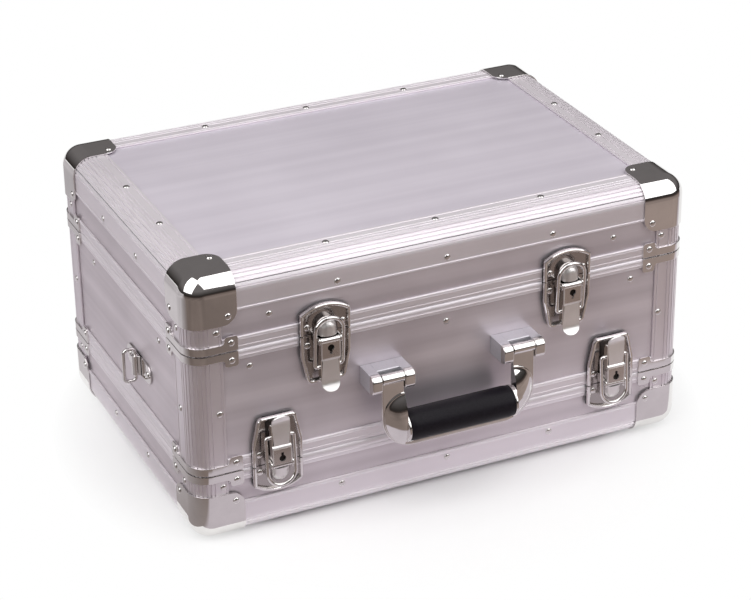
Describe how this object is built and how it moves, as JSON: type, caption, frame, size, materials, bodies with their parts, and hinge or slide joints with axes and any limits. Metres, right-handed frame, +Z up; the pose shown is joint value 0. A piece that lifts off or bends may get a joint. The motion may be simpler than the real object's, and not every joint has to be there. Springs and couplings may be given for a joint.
{
  "type": "record carrying case",
  "caption": "Rigid aluminium-skinned record case in base, body and lid sections, with ball corners, drawbolt latches, a folding handle and strap rings.",
  "frame": {"origin": "on the floor, under the middle of the whole outline with its handle, rings and hinges", "axes": "+X to the right along the case's width, +Y to the rear where the hinges are, +Z up"},
  "size_m": [0.532, 0.3853, 0.267],
  "materials": {
    "panel_sheet": "satin brushed",
    "trim": "bright anodised, finely ribbed",
    "chrome": "polished",
    "bracket": "satin cast",
    "lock_steel": "turned",
    "grip": "satin black",
    "foam": "soft foam"
  },
  "bodies": {
    "base": {"base_floor_panel": "panel_sheet", "base_front_panel": "panel_sheet", "base_rear_panel": "panel_sheet", "base_left_panel": "panel_sheet", "base_right_panel": "panel_sheet", "base_edge_frame": "trim", "base_rim_frame": "trim", "base_corner_cap_front_left": "chrome", "base_corner_cap_front_right": "chrome", "base_corner_cap_rear_left": "chrome", "base_corner_cap_rear_right": "chrome", "latch_catch_lower_left": "chrome", "latch_catch_lower_right": "chrome", "hinge_leaf_base": "chrome"},
    "body": {"body_front_panel": "panel_sheet", "body_rear_panel": "panel_sheet", "body_left_panel": "panel_sheet", "body_right_panel": "panel_sheet", "body_frame": "trim", "latch_plate_upper_left": "chrome", "latch_plate_upper_right": "chrome", "latch_plate_lower_left": "chrome", "latch_plate_lower_right": "chrome", "hinge_leaf_body_upper": "chrome", "hinge_leaf_body_lower": "chrome", "handle_bracket_left": "bracket", "handle_bracket_right": "bracket", "strap_plate_left": "chrome", "strap_plate_right": "chrome"},
    "lid": {"lid_top_panel": "panel_sheet", "lid_front_panel": "panel_sheet", "lid_rear_panel": "panel_sheet", "lid_left_panel": "panel_sheet", "lid_right_panel": "panel_sheet", "lid_foam": "foam", "lid_edge_frame": "trim", "lid_rim_frame": "trim", "lid_corner_cap_front_left": "chrome", "lid_corner_cap_front_right": "chrome", "lid_corner_cap_rear_left": "chrome", "lid_corner_cap_rear_right": "chrome", "latch_catch_upper_left": "chrome", "latch_catch_upper_right": "chrome", "hinge_leaf_lid": "chrome"},
    "handle": {"handle_frame": "chrome", "handle_grip": "grip"},
    "strap_ring_left": {"strap_ring_left": "chrome"},
    "strap_ring_right": {"strap_ring_right": "chrome"},
    "latch_lever_upper_left": {"latch_lever_upper_left": "chrome"},
    "latch_bail_upper_left": {"latch_bail_upper_left": "chrome"},
    "latch_lock_upper_left": {"latch_lock_upper_left": "lock_steel"},
    "latch_lever_upper_right": {"latch_lever_upper_right": "chrome"},
    "latch_bail_upper_right": {"latch_bail_upper_right": "chrome"},
    "latch_lock_upper_right": {"latch_lock_upper_right": "lock_steel"},
    "latch_lever_lower_left": {"latch_lever_lower_left": "chrome"},
    "latch_bail_lower_left": {"latch_bail_lower_left": "chrome"},
    "latch_lock_lower_left": {"latch_lock_lower_left": "lock_steel"},
    "latch_lever_lower_right": {"latch_lever_lower_right": "chrome"},
    "latch_bail_lower_right": {"latch_bail_lower_right": "chrome"},
    "latch_lock_lower_right": {"latch_lock_lower_right": "lock_steel"}
  },
  "joints": [
    {"name": "body_hinge", "type": "hinge", "parent": "base", "child": "body", "pos_m": [0, 0.1895, 0.0699], "axis": [-1, 0, 0], "range_deg": [0, 90]},
    {"name": "lid_hinge", "type": "hinge", "parent": "body", "child": "lid", "pos_m": [0, 0.1895, 0.1907], "axis": [-1, 0, 0], "range_deg": [0, 95]},
    {"name": "handle_pivot", "type": "hinge", "parent": "body", "child": "handle", "pos_m": [0, -0.1777, 0.1403], "axis": [-1, 0, 0], "range_deg": [0, 95]},
    {"name": "strap_ring_left_swing", "type": "hinge", "parent": "body", "child": "strap_ring_left", "pos_m": [-0.2528, -0.0178, 0.121], "axis": [0, 0, 1], "range_deg": [-80, 80]},
    {"name": "strap_ring_right_swing", "type": "hinge", "parent": "body", "child": "strap_ring_right", "pos_m": [0.2528, -0.0178, 0.121], "axis": [0, 0, 1], "range_deg": [-80, 80]},
    {"name": "latch_lever_upper_left_throw", "type": "hinge", "parent": "body", "child": "latch_lever_upper_left", "pos_m": [-0.1215, -0.1677, 0.1875], "axis": [-1, 0, 0], "range_deg": [0, 110]},
    {"name": "latch_bail_upper_left_swing", "type": "hinge", "parent": "latch_lever_upper_left", "child": "latch_bail_upper_left", "pos_m": [-0.1215, -0.1641, 0.1602], "axis": [1, 0, 0], "range_deg": [0, 140]},
    {"name": "latch_lock_upper_left_turn", "type": "hinge", "parent": "latch_lever_upper_left", "child": "latch_lock_upper_left", "pos_m": [-0.1215, -0.1699, 0.1802], "axis": [0, -1, 0], "range_deg": [0, 90]},
    {"name": "latch_lever_upper_right_throw", "type": "hinge", "parent": "body", "child": "latch_lever_upper_right", "pos_m": [0.1215, -0.1677, 0.1875], "axis": [-1, 0, 0], "range_deg": [0, 110]},
    {"name": "latch_bail_upper_right_swing", "type": "hinge", "parent": "latch_lever_upper_right", "child": "latch_bail_upper_right", "pos_m": [0.1215, -0.1641, 0.1602], "axis": [1, 0, 0], "range_deg": [0, 140]},
    {"name": "latch_lock_upper_right_turn", "type": "hinge", "parent": "latch_lever_upper_right", "child": "latch_lock_upper_right", "pos_m": [0.1215, -0.1699, 0.1802], "axis": [0, -1, 0], "range_deg": [0, 90]},
    {"name": "latch_lever_lower_left_throw", "type": "hinge", "parent": "body", "child": "latch_lever_lower_left", "pos_m": [-0.171, -0.1677, 0.0731], "axis": [1, 0, 0], "range_deg": [0, 110]},
    {"name": "latch_bail_lower_left_swing", "type": "hinge", "parent": "latch_lever_lower_left", "child": "latch_bail_lower_left", "pos_m": [-0.171, -0.1641, 0.1004], "axis": [-1, 0, 0], "range_deg": [0, 140]},
    {"name": "latch_lock_lower_left_turn", "type": "hinge", "parent": "latch_lever_lower_left", "child": "latch_lock_lower_left", "pos_m": [-0.171, -0.1699, 0.0804], "axis": [0, -1, 0], "range_deg": [0, 90]},
    {"name": "latch_lever_lower_right_throw", "type": "hinge", "parent": "body", "child": "latch_lever_lower_right", "pos_m": [0.171, -0.1677, 0.0731], "axis": [1, 0, 0], "range_deg": [0, 110]},
    {"name": "latch_bail_lower_right_swing", "type": "hinge", "parent": "latch_lever_lower_right", "child": "latch_bail_lower_right", "pos_m": [0.171, -0.1641, 0.1004], "axis": [-1, 0, 0], "range_deg": [0, 140]},
    {"name": "latch_lock_lower_right_turn", "type": "hinge", "parent": "latch_lever_lower_right", "child": "latch_lock_lower_right", "pos_m": [0.171, -0.1699, 0.0804], "axis": [0, -1, 0], "range_deg": [0, 90]}
  ],
  "couplings": [
    {"joint": "latch_bail_upper_left_swing", "follows": "latch_lever_upper_left_throw", "ratio": 1.25},
    {"joint": "latch_bail_upper_right_swing", "follows": "latch_lever_upper_right_throw", "ratio": 1.25},
    {"joint": "latch_bail_lower_left_swing", "follows": "latch_lever_lower_left_throw", "ratio": 1.25},
    {"joint": "latch_bail_lower_right_swing", "follows": "latch_lever_lower_right_throw", "ratio": 1.25}
  ]
}
